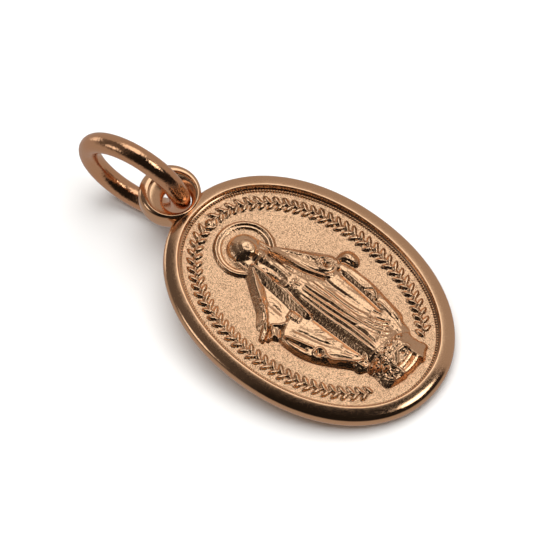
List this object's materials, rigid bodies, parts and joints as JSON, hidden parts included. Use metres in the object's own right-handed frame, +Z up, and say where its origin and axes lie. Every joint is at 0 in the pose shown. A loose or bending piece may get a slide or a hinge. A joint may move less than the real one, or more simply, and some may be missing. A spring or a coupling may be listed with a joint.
{
  "type": "religious medal pendant",
  "caption": "Oval relief medal with a round eyelet at its top and a closed jump ring of round wire, lying face up.",
  "frame": {"origin": "centre of the footprint, on the surface that the pendant lies on", "axes": "+Y from the figure's globe towards the jump ring, +Z up, the medal's face pitched 8 degrees from level"},
  "size_m": [0.013, 0.025, 0.0073],
  "materials": {
    "struck_gold": "rose gold, polished rim and relief on a fine matt field",
    "wire_gold": "rose gold, polished round wire"
  },
  "bodies": {
    "root": {"medal": "struck_gold", "jump_ring": "wire_gold"}
  },
  "joints": []
}
